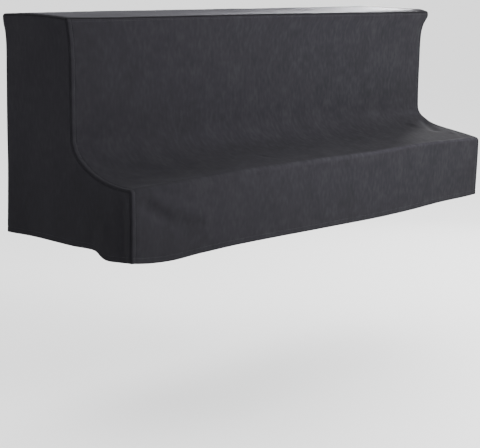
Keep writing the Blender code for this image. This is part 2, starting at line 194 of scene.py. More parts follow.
# %% [markdown]
# ## Sewing
#
# Two panels are laid face to face, sewn 9 mm from their edges and opened out.  Outside that leaves a
# soft groove, and inside two narrow allowances, held flat by topstitching 8 mm from the edge.  The hem
# is turned up once and stitched.  All of it could be painted on, but the grooves catch the light, so
# they are modelled.

# %% Sizes of the sewing
SEAM_PLAY = 0.02 * MM  # from a panel's allowance to the plane of its seam
SEAM_ROLL = 2.0 * MM  # radius with which a panel rolls into a seam
ALLOWANCE = 9.0 * MM  # depth of a seam's allowance
SHORT_ALLOWANCE = 3.0 * MM  # its depth where it is clipped at a corner
CLIP_REACH = 0.030  # from full depth to clipped
HEM_ROLL = 1.9 * MM  # radius of the turned hem
HEM_HEIGHTS = (4.0 * MM, 9.0 * MM, 14.0 * MM, 20.0 * MM)  # rows of the part that is turned up
HEM_STITCH = 0.016  # height of its stitching
TOPSTITCH = 0.008  # from an edge to its topstitching
STITCH_DIP = 0.9 * MM  # how far the thread pulls the cloth in
STITCH_DIP_WIDTH = 1.8 * MM
SLIT_FROM = 0.024  # the side seams roll in less and less from SLIT_REACH above this height ...
SLIT_REACH = 0.150
SLIT_ROLL = 0.25  # ... to this share of their roll at the hem


# %% Read a table on a smooth curve
def read_table(rows, column, value):
    """Read a column of a table at a value of its first column, on a smooth curve through its rows."""
    keys = [row[0] for row in rows]
    heights = [getattr(row, column) for row in rows]
    if value <= keys[0]:
        return heights[0]
    if value >= keys[-1]:
        return heights[-1]
    right = next(index for index, key in enumerate(keys) if key >= value)
    left = right - 1

    def slope_at(index):
        before = max(index - 1, 0)
        after = min(index + 1, len(keys) - 1)
        return (heights[after] - heights[before]) / (keys[after] - keys[before])

    step = keys[right] - keys[left]
    t = (value - keys[left]) / step
    keep = 2 * t ** 3 - 3 * t ** 2 + 1
    start = step * (t ** 3 - 2 * t ** 2 + t) * slope_at(left)
    finish = step * (t ** 3 - t ** 2) * slope_at(right)
    return keep * heights[left] + (1 - keep) * heights[right] + start + finish


def smooth(share):
    """Ease from 0 to 1."""
    share = min(max(share, 0.0), 1.0)
    return share * share * (3 - 2 * share)


def mix(start, finish, share):
    return start + (finish - start) * share


def bell(distance, half_width):
    return math.exp(-(distance / half_width) ** 2)


def stitch_dip(distance):
    """How far the cloth is pulled in at a distance from a line of stitches."""
    return STITCH_DIP * bell(distance, STITCH_DIP_WIDTH)


# %% Lines in the upright plane
def leaning(angle):
    """Unit vector in (y, z).  Angle 0 is straight up; a positive angle leans to the player."""
    return Vector((0.0, -math.sin(angle), math.cos(angle)))


def arc(centre, radius, start, finish, steps):
    return [centre + leaning(start + (finish - start) * step / steps) * radius for step in range(steps + 1)]


def line(start, finish, steps):
    return [start.lerp(finish, step / steps) for step in range(steps + 1)]


def bezier(start, start_handle, finish_handle, finish, steps):
    points = []
    for step in range(steps + 1):
        t = step / steps
        points.append(start * (1 - t) ** 3 + start_handle * (3 * (1 - t) ** 2 * t)
                      + finish_handle * (3 * (1 - t) * t ** 2) + finish * t ** 3)
    return points


def top_height(x, y):
    """Outer height of the top: a parabola through its front, middle and back, less its shoulder."""
    front, middle, back, shoulder = (read_table(TOP_SECTIONS, column, x)
                                     for column in ("front", "middle", "back", "shoulder"))
    t = y / BACK_Y
    crown = middle + (back - front) / 2 * t + ((back + front) / 2 - middle) * t * t
    return crown - shoulder * bell(y - FRONT_Y, SHOULDER_REACH)


def edge_centre(x, side):
    """Centre of the rounding at the front (side -1) or back (side 1) edge of the top."""
    y = (BACK_Y if side > 0 else FRONT_Y) - side * TOP_ROUND
    return Vector((0.0, y, top_height(x, y) - TOP_ROUND))


# %% [markdown]
# ## A panel's section
#
# At each place across a panel its cloth follows one line: up out of the seam's allowance, round the
# roll, along the face, round the hem and up behind it.  Each point of that line knows which way is
# out, how deep it lies behind the face, and how far the side seam rolls in there.

# %% Places along a section
Place = namedtuple("Place", "point normal depth roll clip along in_seam tone", defaults=(False, 1.0))
ROLL_STEPS = 5
ALLOWANCE_STEPS = 2
EDGE_STEPS = 4  # on the rounding between a seam and a face
STITCH_ROWS = 7  # rows of 2 mm beside the top's seams
HEM_ROWS = 13  # rows of 2 mm above the hem
FINE = 2.0 * MM
UNSHADED_ROLL_SHARE = 0.7  # share of a roll past which it no longer gets the painted seam shade
HEM_SHADE = (0.84, 0.20)  # painted shade at the hem, and how high it reaches
SIDE_HEM_SHADE = (0.78, 0.35)  # the same painted shade on the side panels, darker and reaching higher
# How far round the edge a panel's face starts, so that its roll ends SEAM_PLAY from the seam's plane.
ROLL_ANGLE = math.asin((SEAM_PLAY + SEAM_ROLL) / (TOP_ROUND - SEAM_ROLL))
# How far round a hem each row of its turned cloth lies, from 0 to 1, and how far up.
HEM_TURNS = ([(step / ROLL_STEPS, 0.0) for step in range(1, ROLL_STEPS + 1)]
             + [(1.0, height) for height in HEM_HEIGHTS])


def clipped(distance):
    """Depth of an allowance at a distance from the corner where it is clipped."""
    return mix(SHORT_ALLOWANCE, ALLOWANCE, smooth(distance / CLIP_REACH))


def rolled_edge(x, edge, seam, away):
    """Places from an allowance's depth to the face, on the top's front (edge -1) or back (edge 1) rounding.

    seam is the seam's angle on it, and away is 1 or -1, the way in which the face lies.
    """
    middle = edge_centre(x, edge)
    centre = middle + leaning(seam + away * ROLL_ANGLE) * (TOP_ROUND - SEAM_ROLL)
    foot = centre + leaning(seam - away * math.pi / 2) * SEAM_ROLL
    depth = clipped(HALF_WIDTH - abs(x)) - SEAM_ROLL
    points = [(foot - leaning(seam) * depth * (1 - step / ALLOWANCE_STEPS), 0.0)
              for step in range(ALLOWANCE_STEPS)]
    sweep = ROLL_ANGLE + math.pi / 2
    for step in range(ROLL_STEPS):
        angle = seam - away * math.pi / 2 + away * sweep * step / ROLL_STEPS
        points.append((centre + leaning(angle) * SEAM_ROLL, step / ROLL_STEPS))
    places = []
    for point, share in points:
        normal = leaning(seam + away * ROLL_ANGLE * share)
        behind = TOP_ROUND - (point - middle).dot(normal)
        # The rolled part of a seam takes the painted seam shade.
        places.append(Place(point, normal, behind, share, 0.0, -behind, share < UNSHADED_ROLL_SHARE))
    return places


def face_places(points, turn, first, last):
    """Places on the face.  turn is 1 where it runs down the front and -1 where it runs down the back."""
    places = []
    along = TOP_ROUND * ROLL_ANGLE
    lengths = [(after - before).length for before, after in zip(points, points[1:])] + [0.0]
    total = sum(lengths) + along
    for index, point in enumerate(points):
        ahead = points[min(index + 1, len(points) - 1)] - points[max(index - 1, 0)]
        normal = Vector((0.0, turn * ahead.z, -turn * ahead.y)).normalized()
        if index == 0 and first is not None:
            normal = first
        if index == len(points) - 1 and last is not None:
            normal = last
        places.append(Place(point, normal, 0.0, 1.0, clipped(min(along, total - along)), along))
        along += lengths[index]
    return places


def painted_hem_shade(above, tone, reach):
    """Painted shade of the pile at a height above the hem."""
    return mix(tone, 1, smooth(above / reach))


def turned_up(bend, height):
    """How far behind a hem's edge and how far below it a row of its turned cloth lies."""
    return HEM_ROLL * (1 - math.cos(math.pi * bend)), HEM_ROLL * math.sin(math.pi * bend) - height


def turned_hem(places, hem, turn):
    """Stitch the lowest rows down, loosen their side seams and turn the hem up behind them."""
    face = []
    for place in places:
        above = (place.point - hem).length
        roll = mix(SLIT_ROLL, 1, smooth((above - SLIT_FROM) / SLIT_REACH))
        # Painted shade, darker towards the hem.
        tone = place.tone * painted_hem_shade(above, *HEM_SHADE)
        point = place.point - place.normal * stitch_dip(above - HEM_STITCH)
        face.append(place._replace(point=point, roll=roll, tone=tone))
    edge = face[-1]
    down = Vector((0.0, -turn * edge.normal.z, turn * edge.normal.y))
    for bend, height in HEM_TURNS:
        behind, below = turned_up(bend, height)
        # The turned-up cloth takes the hem's painted shade.
        face.append(Place(edge.point + down * below - edge.normal * behind, edge.normal, behind,
                          SLIT_ROLL * (1 - bend), SHORT_ALLOWANCE,
                          edge.along + (height or HEM_ROLL * math.pi * bend),
                          tone=1.0 if height else HEM_SHADE[0]))
    return face


# %% The front's section
WALL_STEPS = 42
HOLLOW_STEPS = 46
RIDGE_STEPS = 8
SKIRT_STEPS = 25
EDGE_HIGHLIGHT = 1.6  # painted highlight on the key edge, round its bend ...
HIGHLIGHT_FROM = -0.60  # ... which grows from this x on, towards the treble end where the light falls
HIGHLIGHT_REACH = 1.0
HIGHLIGHT_SKEW = 0.7  # below 1 the painted highlight is brightest above the middle of the bend


def stitched(places):
    """Pull the cloth in along the topstitching beside a seam."""
    return [place._replace(point=place.point - place.normal * stitch_dip(place.along - TOPSTITCH))
            for place in places]


def front_places(x):
    section = {name: read_table(FRONT_SECTIONS, name, x) for name in FRONT_SECTIONS[0]._fields[1:]}
    slope = math.atan(section["slope"])
    radius = section["ridge_round"]
    ridge_centre = Vector((0.0, SKIRT_Y + radius, section["ridge_z"] - radius))
    lip = ridge_centre + leaning(slope) * radius
    foot = Vector((0.0, FRONT_Y + WALL_TUCK, section["foot_z"]))
    foot_handle = foot - Vector((0.0, 0.0, section["hollow"]))
    lip_handle = lip + Vector((0.0, section["reach"], section["reach"] * section["slope"]))
    hem = Vector((0.0, SKIRT_Y + SKIRT_TUCK, section["hem_z"]))

    seam = math.pi / 4
    edge = arc(edge_centre(x, -1), TOP_ROUND, seam + ROLL_ANGLE, math.pi / 2, EDGE_STEPS)
    wall_way = (foot - edge[-1]).normalized()
    fine = [edge[-1] + wall_way * FINE * row for row in range(1, STITCH_ROWS)]
    wall = line(fine[-1], foot, WALL_STEPS)
    hollow = bezier(foot, foot_handle, lip_handle, lip, HOLLOW_STEPS)
    ridge = arc(ridge_centre, radius, slope, math.pi / 2, RIDGE_STEPS)
    skirt_way = (hem - ridge[-1]).normalized()
    last = hem - skirt_way * HEM_ROLL
    skirt = line(ridge[-1], last - skirt_way * FINE * HEM_ROWS, SKIRT_STEPS)
    rows = [last - skirt_way * FINE * (HEM_ROWS - row) for row in range(1, HEM_ROWS + 1)]
    face = edge + fine + wall[1:] + hollow[1:] + ridge[1:] + skirt[1:] + rows
    outward = Vector((0.0, skirt_way.z, -skirt_way.y))
    places = face_places(face, 1, leaning(seam + ROLL_ANGLE), outward)
    lip_row = len(places) - len(rows) - SKIRT_STEPS - RIDGE_STEPS - 1
    # A painted highlight along the key edge, brighter towards the treble end.
    for step in range(RIDGE_STEPS):
        highlight_share = math.sin(math.pi * (step / RIDGE_STEPS) ** HIGHLIGHT_SKEW) * smooth((x - HIGHLIGHT_FROM) / HIGHLIGHT_REACH)
        row = lip_row + step
        places[row] = places[row]._replace(tone=mix(1, EDGE_HIGHLIGHT, highlight_share))
    return rolled_edge(x, -1, seam, 1) + turned_hem(stitched(places), hem, 1)


# %% The back's and the top's sections
BACK_STEPS = 64
TOP_STEPS = 40


def back_places(x):
    hem_z = mix(*BACK_HEM, (x + HALF_WIDTH) / (2 * HALF_WIDTH))
    seam = -math.pi / 4
    edge = arc(edge_centre(x, 1), TOP_ROUND, seam - ROLL_ANGLE, -math.pi / 2, EDGE_STEPS)
    last_z = hem_z + HEM_ROLL
    heights = [edge[-1].z - FINE * row for row in range(1, STITCH_ROWS)]
    fine_hem = last_z + FINE * HEM_ROWS
    heights += [heights[-1] + (fine_hem - heights[-1]) * step / BACK_STEPS for step in range(1, BACK_STEPS)]
    heights += [last_z + FINE * (HEM_ROWS - row) for row in range(HEM_ROWS + 1)]
    face = edge + [Vector((0.0, BACK_Y + read_table(BACK_SECTIONS, "bulge", z), z)) for z in heights]
    places = face_places(face, -1, leaning(seam - ROLL_ANGLE), None)
    hem = Vector((0.0, face[-1].y, hem_z))
    return rolled_edge(x, 1, seam, -1) + turned_hem(stitched(places), hem, -1)


def top_places(x):
    seam = math.pi / 4
    back = arc(edge_centre(x, 1), TOP_ROUND, ROLL_ANGLE - seam, 0.0, EDGE_STEPS)
    front = arc(edge_centre(x, -1), TOP_ROUND, 0.0, seam - ROLL_ANGLE, EDGE_STEPS)
    flat = [Vector((0.0, point.y, top_height(x, point.y))) for point in line(back[-1], front[0], TOP_STEPS)]
    places = face_places(back + flat[1:-1] + front, 1, leaning(ROLL_ANGLE - seam), leaning(seam - ROLL_ANGLE))
    front_edge = [place._replace(along=places[-1].along - place.along)
                  for place in rolled_edge(x, -1, seam, -1)]
    return rolled_edge(x, 1, -seam, 1) + places + front_edge[::-1]


for places_at in (front_places, back_places, top_places):
    print(places_at.__name__, "gives", len(places_at(0.0)), "places")

# %% [markdown]
# ## How the cloth lifts
#
# Besides the folds two finer things are worked out: the slack of the whole cloth, smooth noise a
# millimetre high, and the pucker of each seam, short ripples that the thread gathers.

# %% Folds, slack and pucker
SLACK = 0.9 * MM
SLACK_SIZE = 0.16  # from one swell of the slack to the next
SLACK_RIPPLE = 3  # its ripples are so many times finer and lower
PUCKER = 0.45 * MM
PUCKER_SIZE = 0.021  # from one ripple beside a seam to the next
PUCKER_REACH = 0.022


def fold_rise(folds, point):
    """How far the folds lift the cloth at a point."""
    rise = 0.0
    for fold in folds:
        along = fold.end - fold.start
        share = (point - fold.start).dot(along) / along.length_squared
        nearest = fold.start + along * min(max(share, 0.0), 1.0)
        rise += fold.rise * bell((point - nearest).length, fold.half_width)
    return rise


def slack_rise(point):
    ripple = noise.noise(point * SLACK_RIPPLE / SLACK_SIZE)
    return SLACK * noise.noise(point / SLACK_SIZE) + SLACK / SLACK_RIPPLE * ripple


def pucker_rise(along_seam, from_seam):
    ripple = noise.noise(Vector((along_seam / PUCKER_SIZE, from_seam / PUCKER_REACH, 0.0)))
    return PUCKER * ripple * smooth(from_seam / (2 * SEAM_ROLL)) * bell(from_seam, PUCKER_REACH)


def side_x(side, z, to_front, to_back):
    """Outer x of the bass (side -1) or treble (side 1) side, at distances from its two seams."""
    rows = TREBLE_SIDE if side > 0 else BASS_SIDE
    middle = read_table(rows, "middle", z)
    front = (read_table(rows, "front", z) - middle) * bell(to_front, SEAM_REACH)
    back = (read_table(rows, "back", z) - middle) * bell(to_back, SEAM_REACH)
    return side * (HALF_WIDTH + middle + front + back)


# %% [markdown]
# ## The ribbon
#
# Back, top and front are each a grid, from `bmesh.ops.create_grid`, whose points move to their places.
# At both ends it turns a quarter round the corner and rolls in to the side seam.  A grid keeps clean
# rows for the stitching and carries the flat pattern on its UV map.

# %% Columns of the ribbon
CORNER_STEPS = 5
TURN_COLUMNS = CORNER_STEPS + ROLL_STEPS + ALLOWANCE_STEPS
NEAR_COLUMNS = 10  # columns of 1.5 mm beside the corners
NEAR_STEP = 1.5 * MM
WIDENING = [19.0 * MM, 24.0 * MM]  # columns that lead over to the wide ones
WIDE_STEP = 6.4 * MM
BODY_WIDTH = 2 * (HALF_WIDTH - SIDE_ROUND)


def column_shares():
    """Places of the columns from -1 to 1: fine beside the corners, wider between."""
    near = [NEAR_STEP * step for step in range(NEAR_COLUMNS + 1)] + WIDENING
    steps = round((BODY_WIDTH - 2 * near[-1]) / WIDE_STEP)
    middle = [near[-1] + (BODY_WIDTH - 2 * near[-1]) * step / steps for step in range(1, steps)]
    across = near + middle + [BODY_WIDTH - distance for distance in near[::-1]]
    return [2 * distance / BODY_WIDTH - 1 for distance in across]


def quarter_turn(sweep, steps):
    """Points round a corner as (outward, behind)."""
    angles = [sweep * step / steps for step in range(1, steps + 1)]
    return [(SIDE_ROUND * math.sin(angle), SIDE_ROUND * (1 - math.cos(angle))) for angle in angles]


def rolled_turn(clip):
    """The turn round a corner as (outward, behind), rolled in to its seam."""
    inside = SIDE_ROUND - SEAM_ROLL
    lean = math.acos(SEAM_ROLL / inside)
    rolled = quarter_turn(lean, CORNER_STEPS)
    for step in range(1, ROLL_STEPS + 1):
        angle = lean + (math.pi - lean) * step / ROLL_STEPS
        rolled.append((inside * math.sin(lean) + SEAM_ROLL * math.sin(angle),
                       SIDE_ROUND - inside * math.cos(lean) - SEAM_ROLL * math.cos(angle)))
    outward = rolled[-1][0]
    return rolled + [(outward - (clip - SEAM_ROLL) * step / ALLOWANCE_STEPS, SIDE_ROUND)
                     for step in range(1, ALLOWANCE_STEPS + 1)]


def turned_end(point, place, side):
    """Points past the last column, where the cloth turns round the corner and into the seam."""
    rolled = rolled_turn(max(place.clip, SHORT_ALLOWANCE))
    size = (SIDE_ROUND - place.depth) / SIDE_ROUND
    points = []
    for turned, flat in zip(rolled, quarter_turn(math.pi / 2, TURN_COLUMNS)):
        outward, behind = (size * (place.roll * a + (1 - place.roll) * b) for a, b in zip(turned, flat))
        points.append(point + Vector((side * outward, 0.0, 0.0)) - place.normal * behind)
    return points


# %% Lay a ribbon panel out in rows
Ribbon = namedtuple("Ribbon", "name rows sections shares")


def lay_ribbon(name, places_at, folds):
    """Rows of points of a ribbon panel, from bass to treble, with both ends turned into their seams."""
    shares = column_shares()
    sections = [places_at(share * HALF_WIDTH) for share in shares]
    rows = []
    for row in range(len(sections[0])):
        ends = []
        for side, end in ((-1, 0), (1, -1)):
            place = sections[end][row]
            face = place.point + place.normal * place.depth
            seam_z = face.z - place.normal.z * SIDE_ROUND
            to_front = max(face.y - FRONT_Y - TOP_ROUND, 0.0)
            to_back = max(BACK_Y - TOP_ROUND - face.y, 0.0)
            ends.append(side_x(side, seam_z, to_front, to_back) - side * SIDE_ROUND)
        points = []
        for share, section in zip(shares, sections):
            place = section[row]
            x = mix(*ends, (share + 1) / 2)
            face = place.point + place.normal * place.depth
            face.x = x
            from_corner = min(x - ends[0], ends[1] - x)
            rise = fold_rise(folds, face) + slack_rise(face) * smooth(from_corner / PUCKER_REACH)
            rise += pucker_rise(place.along, from_corner) + pucker_rise(x, max(place.along, 0.0))
            rise -= stitch_dip(from_corner - TOPSTITCH)
            points.append(Vector((x, place.point.y, place.point.z)) + place.normal * rise)
        bass_end = turned_end(points[0], sections[0][row], -1)
        rows.append(bass_end[::-1] + points + turned_end(points[-1], sections[-1][row], 1))
    print(name, len(rows), "rows of", len(rows[0]), "points")
    return Ribbon(name, rows, sections, shares)


front_ribbon = lay_ribbon("front_cloth", front_places, SKIRT_FOLDS + SHELF_FOLDS)
back_ribbon = lay_ribbon("back_cloth", back_places, ())
top_ribbon = lay_ribbon("top_cloth", top_places, ())

# %% [markdown]
# ## Colour and nodes
#
# Colours are sRGB hex values, as on a dyer's card, and one function turns them to the linear values
# of Blender's shaders.  Another adds any node with its settings and its links.


# %% Helpers for materials and objects
def linear(hex_colour):
    """Linear RGBA from an sRGB hex colour."""
    channels = [int(hex_colour[place:place + 2], 16) / 255 for place in (1, 3, 5)]
    return [c / 12.92 if c <= 0.04045 else ((c + 0.055) / 1.055) ** 2.4 for c in channels] + [1.0]


def set_inputs(node, inputs):
    """Set a node's inputs by name or number.  A node or an output is linked, anything else is a value."""
    for key, value in inputs.items():
        if isinstance(value, bpy.types.Node):
            value = value.outputs[0]
        if isinstance(value, bpy.types.NodeSocket):
            node.id_data.links.new(value, node.inputs[key])
        else:
            node.inputs[key].default_value = value


def add_node(tree, kind, inputs, **settings):
    node = tree.nodes.new("ShaderNode" + kind)
    for key, value in settings.items():
        setattr(node, key, value)
    set_inputs(node, inputs)
    return node


def make_material(name, look):
    """A material whose shader takes the inputs that look(tree) returns."""
    material = bpy.data.materials.new(name)
    material.use_nodes = True
    set_inputs(material.node_tree.nodes["Principled BSDF"], look(material.node_tree))
    print("material", name)
    return material


def add_object(name, data, materials=()):
    """Add an object to the scene.  A bmesh is turned into a mesh first, and freed."""
    if isinstance(data, bmesh.types.BMesh):
        mesh = bpy.data.meshes.new(name)
        data.to_mesh(mesh)
        data.free()
        data = mesh
    for material in materials:
        data.materials.append(material)
    made = bpy.data.objects.new(name, data)
    bpy.context.scene.collection.objects.link(made)
    return made


# %% [markdown]
# ## Velvet
#
# Charcoal polyester velvet is woven as two layers joined by pile, and cut apart.  What the eye gets is
# a matt face, nearly black where it looks down the pile and lighter where it looks across it, with
# soft streaks where a hand has brushed it.  Hair would show each fibre, but a fibre is 0.02 mm thick
# and the cover is 1.5 m wide.  A sheen layer over a rough base gives the same edges at no cost.  Each
# point of the mesh carries a tone for its pile, in which a highlight and shade are painted, and how strongly
# its streaks show.

# %% Velvet
PILE = ((0.33, "#17171a"), (0.5, "#1b1a1e"), (0.67, "#202023"))  # its dark, middle and light lie
PILE_SHEEN = "#cac8d9"
STREAK = (10.0 * MM, 25.0 * MM)  # width and length of a brushed streak
PATCH = (60.0 * MM, 100.0 * MM)  # size of a patch whose pile lies another way
PATCH_SHARE = 0.38  # of the patches in how the pile lies; the rest is streaks
TUFT = 1.6 * MM  # drawn four times too coarse, so that it shows at all
PILE_DEPTH = 0.25 * MM
END_TONE = 0.81  # tone at the ends of the cover, which are drawn darker
RIBBON_STREAK_LIGHT = (0.6, 1.3)  # strength of the streaks at the bass and the treble end, painted stronger where the light grazes
SIDE_STREAK_LIGHT = (0.5, 0.5)  # and on the side panels, painted weak where they stand in shade


def velvet_look(tree):
    cloth = add_node(tree, "UVMap", {}, uv_map="cloth")
    lies = []
    for (width, length), detail in ((STREAK, 1.0), (PATCH, 2.0)):
        at = add_node(tree, "Mapping", {"Vector": cloth, "Scale": (1 / width, 1 / length, 1.0)})
        lies.append(add_node(tree, "TexNoise", {"Vector": at, "Scale": 1.0, "Detail": detail}))
    tuft = add_node(tree, "TexNoise", {"Vector": cloth, "Scale": 1 / TUFT, "Detail": 1.0})
    lie = add_node(tree, "Mix", {"Factor": PATCH_SHARE, "A": lies[0], "B": lies[1]}, data_type="FLOAT")
    # How strongly the streaks show: real streaks, painted stronger where the light grazes.
    streaks = add_node(tree, "Attribute", {}, attribute_name="streaks_and_light").outputs["Fac"]
    centred = add_node(tree, "Math", {0: lie, 1: 0.5}, operation="SUBTRACT")
    brushed = add_node(tree, "Math", {0: centred, 1: streaks, 2: 0.5}, operation="MULTIPLY_ADD")
    colour = add_node(tree, "ValToRGB", {"Fac": brushed})
    colour.color_ramp.elements.new(PILE[1][0])
    for element, (position, hex_colour) in zip(colour.color_ramp.elements, PILE):
        element.position = position
        element.color = linear(hex_colour)
    # Painted highlight and shade, from the tone of each point.
    tone = add_node(tree, "Attribute", {}, attribute_name="tone_and_painted_light").outputs["Fac"]
    shaded = add_node(tree, "VectorMath", {0: colour, "Scale": tone}, operation="SCALE")
    lean = add_node(tree, "Bump", {"Height": lies[0], "Distance": PILE_DEPTH, "Strength": 0.2})
    nap = add_node(tree, "Bump", {"Height": tuft, "Distance": PILE_DEPTH, "Strength": 0.2, "Normal": lean})
    return {"Base Color": shaded, "Normal": nap, "Roughness": 0.95, "Specular IOR Level": 0.1,
            "Sheen Weight": 0.04, "Sheen Roughness": 0.18, "Sheen Tint": linear(PILE_SHEEN)}


velvet = make_material("charcoal_cut_velvet", velvet_look)


# %% Parted pile with painted seam shade, backing and thread
def plain_look(hex_colour, roughness, shine, grain, bump, detail=1.0, on_cloth=True):
    """One colour with a grain of its own.  bump is the grain's height and strength."""
    def look(tree):
        at = (add_node(tree, "UVMap", {}, uv_map="cloth") if on_cloth
              else add_node(tree, "TexCoord", {}).outputs["Object"])
        noisy = add_node(tree, "TexNoise", {"Vector": at, "Scale": 1 / grain, "Detail": detail})
        bumpy = add_node(tree, "Bump", {"Height": noisy, "Distance": bump[0], "Strength": bump[1]})
        return {"Base Color": linear(hex_colour), "Normal": bumpy, "Roughness": roughness,
                "Specular IOR Level": shine}
    return look


# The backing is a plain weave, dull and a little greyer than the pile, with a thread every 0.6 mm.  It
# is drawn with a thread every 2 mm, so that it shows.
BACKING = ("#2e2e32", "#47474b")
THREAD = 2.0 * MM


def backing_look(tree):
    cloth = add_node(tree, "UVMap", {}, uv_map="cloth")
    wave = {"Vector": cloth, "Scale": 2 * math.pi / (20 * THREAD), "Distortion": 0.4, "Detail": 1.0}
    waves = [add_node(tree, "TexWave", wave, wave_type="BANDS", bands_direction=way).outputs["Fac"]
             for way in ("X", "Y")]
    weave = add_node(tree, "Math", {0: waves[0], 1: waves[1]}, operation="MULTIPLY")
    colour = add_node(tree, "ValToRGB", {"Fac": weave})
    for element, hex_colour in zip(colour.color_ramp.elements, BACKING):
        element.color = linear(hex_colour)
    bump = add_node(tree, "Bump", {"Height": weave, "Distance": 0.2 * MM, "Strength": 0.5})
    return {"Base Color": colour, "Normal": bump, "Roughness": 0.9, "Specular IOR Level": 0.2}


# In a seam the pile parts, and its groove is painted nearly black with no sheen: painted shade of the groove,
# together with the parted pile's dark feet.
seam_shade_pile = make_material("parted_pile_and_painted_seam_shade", plain_look("#0b0b0c", 1.0, 0.05, TUFT, (PILE_DEPTH, 0.5)))
backing = make_material("woven_polyester_backing", backing_look)
# Thread is as dark as the pile but a little smoother, so that a stitch just catches the eye.
thread = make_material("spun_polyester_thread",
                       plain_look("#1b1b1e", 0.7, 0.3, 0.5 * MM, (0.1 * MM, 0.5), on_cloth=False))

# %% [markdown]
# ## From rows to cloth
#
# A ribbon's rows go on a grid of the same size, its UV map is written in metres of flat cloth, and
# Solidify gives it the thickness of velvet, pile outside and backing inside.

# %% Make a sheet of cloth
VELVET, SEAM_SHADE = 0, 2  # material slots; Solidify gives the inner face the slot after
LOOSE_ROLL = 0.8  # a side seam that rolls in less than this gets no painted seam shade
SIDE_UNSHADED_STEPS = 4  # steps of a side seam's roll that still show whole pile, without the painted seam shade


def finish_cloth(name, bm, flat, tone, streaks, in_seam, outward):
    """Make the cloth's object, from each vertex's place on the flat cloth and the tone of its pile, in which
    highlight and shade are painted.

    streaks is how strongly the streaks show at the cover's bass and treble end, painted stronger where the
    light grazes.
    """
    # Each point's tone, darker towards both ends of the cover.
    tones = [tone[vert] * (1 - (1 - END_TONE) * min(abs(flat[vert][0]) / HALF_WIDTH, 1.0) ** 2)
             for vert in bm.verts]
    # Streaks painted stronger towards the treble end, where the light grazes.
    strengths = [mix(*streaks, (vert.co.x / HALF_WIDTH + 1) / 2) for vert in bm.verts]
    for face in bm.faces:
        # Faces in the seams take the painted seam shade.
        face.material_index = SEAM_SHADE if all(vert in in_seam for vert in face.verts) else VELVET
    bm.normal_update()
    if sum((face.normal * face.calc_area() for face in bm.faces), Vector()).dot(outward) < 0:
        bmesh.ops.reverse_faces(bm, faces=bm.faces)
    layer = bm.loops.layers.uv.new("cloth")
    for face in bm.faces:
        for corner in face.loops:
            corner[layer].uv = flat[corner.vert]
    cloth = add_object(name, bm, (velvet, backing, seam_shade_pile, backing))
    for attribute, values in (("tone_and_painted_light", tones), ("streaks_and_light", strengths)):
        cloth.data.attributes.new(attribute, "FLOAT", "POINT").data.foreach_set("value", values)
    cloth.data.shade_smooth()
    thick = cloth.modifiers.new("Cloth", "SOLIDIFY")
    thick.thickness = CLOTH
    thick.offset = -1.0
    thick.material_offset = 1
    print(name, len(cloth.data.vertices), "points")
    return cloth


def make_ribbon(ribbon, outward):
    bm = bmesh.new()
    row_steps = len(ribbon.rows) - 1
    column_steps = len(ribbon.rows[0]) - 1
    bmesh.ops.create_grid(bm, x_segments=column_steps, y_segments=row_steps, size=1.0)
    turn = SIDE_ROUND * math.pi / 2 / TURN_COLUMNS
    across = [share * HALF_WIDTH for share in ribbon.shares]
    across = ([across[0] - turn * step for step in range(TURN_COLUMNS, 0, -1)] + across
              + [across[-1] + turn * step for step in range(1, TURN_COLUMNS + 1)])
    middle = ribbon.sections[len(ribbon.sections) // 2]
    seam_shade_end = TURN_COLUMNS - CORNER_STEPS - SIDE_UNSHADED_STEPS
    flat, tone, in_seam = {}, {}, set()
    for vert in bm.verts:
        column = round((vert.co.x + 1) / 2 * column_steps)
        row = round((vert.co.y + 1) / 2 * row_steps)
        vert.co = ribbon.rows[row][column]
        flat[vert] = (across[column], middle[row].along)
        section = ribbon.sections[min(max(column - TURN_COLUMNS, 0), len(ribbon.sections) - 1)]
        tone[vert] = section[row].tone
        # Points in the seams take the painted seam shade.
        at_side = min(column, column_steps - column) <= seam_shade_end and middle[row].roll > LOOSE_ROLL
        if at_side or middle[row].in_seam:
            in_seam.add(vert)
    return finish_cloth(ribbon.name, bm, flat, tone, RIBBON_STREAK_LIGHT, in_seam, outward)


front_cloth = make_ribbon(front_ribbon, Vector((0, -1, 0)))
back_cloth = make_ribbon(back_ribbon, Vector((0, 1, 0)))
top_cloth = make_ribbon(top_ribbon, Vector((0, 0, 1)))

# %% [markdown]
# ## The side panels
#
# A side panel's outline is the ribbon's own edge, so one face is made on it and scored into small
# facets with `bmesh.ops.bisect_plane`, whose points then lean out to their places.  Its edges are
# extruded: into the seam along the ribbon, and round the hem below.  Lofted rows from front to back
# would work too, but they crowd at the key shelf.

# %% Follow the side seams
SeamPlace = namedtuple("SeamPlace", "point normal roll clip")
SIDE_INSET = SIDE_ROUND + 2 * SEAM_PLAY + SEAM_ROLL  # from the ribbon's face to the side panel's own
HEM_STEPS = 110


def face_rows(ribbon, side=-1):
    """Index, points and end place of the rows of a ribbon's face.  The points run inwards from that side."""
    section = ribbon.sections[0 if side < 0 else -1]
    return [(index, row[::-side][TURN_COLUMNS:], place)
            for index, (row, place) in enumerate(zip(ribbon.rows, section)) if place.depth == 0.0]


def seam_places(ribbon, side):
    """Where a side panel's face meets its roll along one ribbon panel."""
    return [SeamPlace(row[0] - place.normal * SIDE_INSET, place.normal, place.roll, place.clip)
            for _, row, place in face_rows(ribbon, side)]


def hem_line(side, front, back):
    """The hem's path from the front corner to the back one, HEM_ROLL above the cloth's lowest line."""
    points = line(front, back, HEM_STEPS)
    for step, point in enumerate(points):
        point.z += read_table(TREBLE_HEM if side > 0 else BASS_HEM, "lift", step / HEM_STEPS)
    return points


# %% Score a face
CUT = 5.0 * MM
HEM_CUT = 2.5 * MM
HEM_BAND = 0.035  # height above the hem that is scored finer
MERGE = 0.8 * MM


